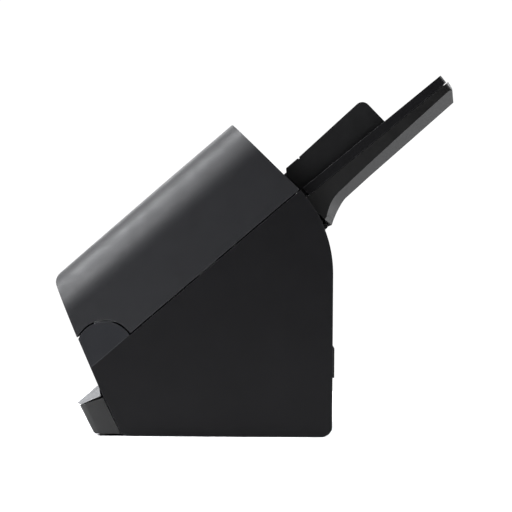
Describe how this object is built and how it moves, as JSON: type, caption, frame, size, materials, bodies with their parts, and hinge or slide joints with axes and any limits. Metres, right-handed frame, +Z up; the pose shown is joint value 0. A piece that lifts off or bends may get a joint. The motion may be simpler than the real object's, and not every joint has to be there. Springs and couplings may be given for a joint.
{
  "type": "sheet fed document scanner",
  "caption": "Charcoal sheet fed document scanner with an upright feed tray, a cover that swings forward and pull-out output trays.",
  "frame": {"origin": "middle of the bounding box in plan, on the plane the rubber feet stand on", "axes": "+Z up, -Y to the front where sheets come out, +Y to the rear where the feed tray stands, +X to the right seen from the front, along the rollers"},
  "size_m": [0.291, 0.2547, 0.2324],
  "materials": {
    "cover_plastic": "fine satin grain, charcoal",
    "body_plastic": "fine matte grain, near black",
    "tray_plastic": "fine matte grain, black",
    "inner_plastic": "smooth semi-matte black",
    "panel_gloss": "glossy black",
    "display_glass": "dark glossy lens",
    "button_plastic": "satin dark grey",
    "polished_steel": "ground shaft",
    "pressed_steel": "zinc plated sheet",
    "roller_rubber": "soft grey rubber",
    "black_rubber": "black rubber",
    "pale_plastic": "natural acetal",
    "scan_glass": "clear glass strip",
    "circuit_board": "green solder mask",
    "connector_metal": "nickel plated",
    "socket_plastic": "black moulded socket"
  },
  "bodies": {
    "base": {"side_cover_right": "body_plastic", "side_cover_left": "body_plastic", "rear_cover": "body_plastic", "port_bezel": "inner_plastic", "base_pan": "inner_plastic", "front_panel": "body_plastic", "exit_nose": "body_plastic", "foot_front_right": "black_rubber", "foot_front_left": "black_rubber", "foot_rear_right": "black_rubber", "foot_rear_left": "black_rubber", "side_frame_right": "pressed_steel", "side_frame_left": "pressed_steel", "lower_paper_guide": "inner_plastic", "lower_scan_unit": "inner_plastic", "lower_scan_glass": "scan_glass", "hinge_pin_right": "polished_steel", "hinge_pin_left": "polished_steel", "drive_motor": "pressed_steel", "drive_belt": "black_rubber", "main_board": "circuit_board", "usb_port": "connector_metal", "power_inlet": "socket_plastic", "feed_tray_shell": "tray_plastic", "feed_tray_plate": "tray_plastic"},
    "feed_drive": {"feed_shaft": "polished_steel", "feed_tyre_right": "roller_rubber", "feed_tyre_left": "roller_rubber"},
    "register_drive": {"register_shaft": "polished_steel", "register_tyre_right": "roller_rubber", "register_tyre_left": "roller_rubber"},
    "transport_drive": {"transport_shaft": "polished_steel", "transport_tyre_right": "roller_rubber", "transport_tyre_left": "roller_rubber"},
    "eject_drive": {"eject_roller": "roller_rubber"},
    "motor_shaft": {"motor_pulley": "connector_metal"},
    "cover": {"front_cover": "cover_plastic", "upper_frame_right": "pressed_steel", "upper_frame_left": "pressed_steel", "upper_paper_guide": "inner_plastic", "upper_scan_unit": "inner_plastic", "upper_scan_glass": "scan_glass", "control_panel": "panel_gloss", "display_window": "display_glass"},
    "separation": {"separation_shaft": "polished_steel", "separation_roller": "roller_rubber"},
    "register_idler": {"register_pinch": "pale_plastic"},
    "transport_idler": {"transport_pinch": "pale_plastic"},
    "eject_idler": {"eject_pinch": "pale_plastic"},
    "latch": {"release_lever": "tray_plastic"},
    "power_key": {"power_button": "button_plastic"},
    "start_key": {"start_button": "button_plastic"},
    "stop_key": {"stop_button": "button_plastic"},
    "guide_r": {"guide_right": "inner_plastic"},
    "guide_l": {"guide_left": "inner_plastic"},
    "pinion": {"guide_pinion": "pale_plastic"},
    "extension": {"feed_extension": "tray_plastic"},
    "out_tray": {"output_tray": "tray_plastic"},
    "out_extension": {"output_extension": "tray_plastic"},
    "stopper": {"paper_stop": "tray_plastic"}
  },
  "joints": [
    {"name": "cover_hinge", "type": "hinge", "parent": "base", "child": "cover", "pos_m": [0, -0.09589, 0.0542], "axis": [1, 0, 0], "range_deg": [0, 75]},
    {"name": "feed_spin", "type": "hinge", "parent": "base", "child": "feed_drive", "pos_m": [0, 0.01332, 0.12939], "axis": [1, 0, 0], "continuous": true},
    {"name": "register_spin", "type": "hinge", "parent": "base", "child": "register_drive", "pos_m": [0, -0.00897, 0.11542], "axis": [1, 0, 0], "continuous": true},
    {"name": "transport_spin", "type": "hinge", "parent": "base", "child": "transport_drive", "pos_m": [0, -0.04531, 0.08406], "axis": [1, 0, 0], "continuous": true},
    {"name": "eject_spin", "type": "hinge", "parent": "base", "child": "eject_drive", "pos_m": [0, -0.08533, 0.05084], "axis": [1, 0, 0], "continuous": true},
    {"name": "motor_spin", "type": "hinge", "parent": "base", "child": "motor_shaft", "pos_m": [0, -0.01755, 0.05802], "axis": [1, 0, 0], "continuous": true},
    {"name": "separation_spin", "type": "hinge", "parent": "cover", "child": "separation", "pos_m": [0, -0.00125, 0.14627], "axis": [1, 0, 0], "continuous": true},
    {"name": "register_pinch_spin", "type": "hinge", "parent": "cover", "child": "register_idler", "pos_m": [0, -0.01766, 0.12549], "axis": [1, 0, 0], "continuous": true},
    {"name": "transport_pinch_spin", "type": "hinge", "parent": "cover", "child": "transport_idler", "pos_m": [0, -0.054, 0.09413], "axis": [1, 0, 0], "continuous": true},
    {"name": "eject_pinch_spin", "type": "hinge", "parent": "base", "child": "eject_idler", "pos_m": [0, -0.09271, 0.05939], "axis": [1, 0, 0], "continuous": true},
    {"name": "release_hinge", "type": "hinge", "parent": "cover", "child": "latch", "pos_m": [0, 0.0091, 0.16029], "axis": [1, 0, 0], "range_deg": [-12, 0], "stiffness_Nm_per_rad": 0.15},
    {"name": "power_press", "type": "slide", "parent": "cover", "child": "power_key", "axis": [0, 0.6587, -0.7524], "range_m": [0, 0.0008], "stiffness_N_per_m": 600},
    {"name": "start_press", "type": "slide", "parent": "cover", "child": "start_key", "axis": [0, 0.6587, -0.7524], "range_m": [0, 0.0008], "stiffness_N_per_m": 600},
    {"name": "stop_press", "type": "slide", "parent": "cover", "child": "stop_key", "axis": [0, 0.6587, -0.7524], "range_m": [0, 0.0008], "stiffness_N_per_m": 600},
    {"name": "guide_right_slide", "type": "slide", "parent": "base", "child": "guide_r", "axis": [-1, 0, 0], "range_m": [0, 0.08]},
    {"name": "guide_left_slide", "type": "slide", "parent": "base", "child": "guide_l", "axis": [1, 0, 0], "range_m": [0, 0.08]},
    {"name": "guide_pinion_spin", "type": "hinge", "parent": "base", "child": "pinion", "pos_m": [0, 0.06342, 0.18715], "axis": [0, -0.6388, 0.7694], "range_deg": [0, 330]},
    {"name": "feed_extension_slide", "type": "slide", "parent": "base", "child": "extension", "axis": [0, 0.7694, 0.6388], "range_m": [0, 0.08]},
    {"name": "output_tray_slide", "type": "slide", "parent": "base", "child": "out_tray", "axis": [0, -1, 0], "range_m": [0, 0.06]},
    {"name": "output_extension_slide", "type": "slide", "parent": "out_tray", "child": "out_extension", "axis": [0, -1, 0], "range_m": [0, 0.07]},
    {"name": "paper_stop_hinge", "type": "hinge", "parent": "out_extension", "child": "stopper", "pos_m": [0, -0.1126, 0.0204], "axis": [1, 0, 0], "range_deg": [0, 80]}
  ],
  "couplings": [
    {"joint": "register_spin", "follows": "feed_spin", "ratio": 1.5},
    {"joint": "transport_spin", "follows": "feed_spin", "ratio": 1.5},
    {"joint": "eject_spin", "follows": "feed_spin", "ratio": 1.7143},
    {"joint": "motor_spin", "follows": "feed_spin", "ratio": 1.1},
    {"joint": "guide_left_slide", "follows": "guide_right_slide", "ratio": 1},
    {"joint": "guide_pinion_spin", "follows": "guide_right_slide", "rad_per_m": 71.429}
  ]
}
